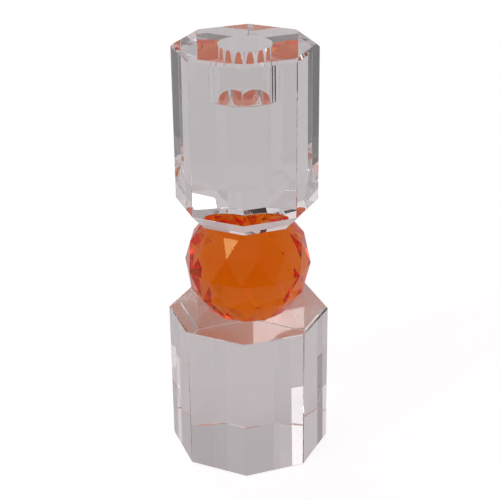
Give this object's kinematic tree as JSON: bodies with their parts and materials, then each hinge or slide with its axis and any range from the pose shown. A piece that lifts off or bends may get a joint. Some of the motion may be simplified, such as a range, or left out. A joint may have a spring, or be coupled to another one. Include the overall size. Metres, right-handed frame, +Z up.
{
  "type": "crystal taper candlestick",
  "caption": "Cut-glass candlestick: an octagonal base block, a faceted amber ball and an octagonal block with a blind socket for a taper candle, bonded in one stack.",
  "frame": {"origin": "centre of the base block's flat underside", "axes": "+Z up along the stack's axis and out of the candle socket; one corner of each octagonal block points to -Y, the front"},
  "size_m": [0.0716, 0.0716, 0.19],
  "materials": {
    "clear_crystal": "polished cut crystal",
    "base_crystal": "polished cut crystal, very faintly pink",
    "amber_crystal": "polished faceted crystal, deep amber",
    "clear_adhesive": "cured clear adhesive film"
  },
  "bodies": {
    "root": {"base_block": "base_crystal", "base_bond": "clear_adhesive", "amber_ball": "amber_crystal", "block_bond": "clear_adhesive", "candle_block": "clear_crystal"}
  },
  "joints": []
}
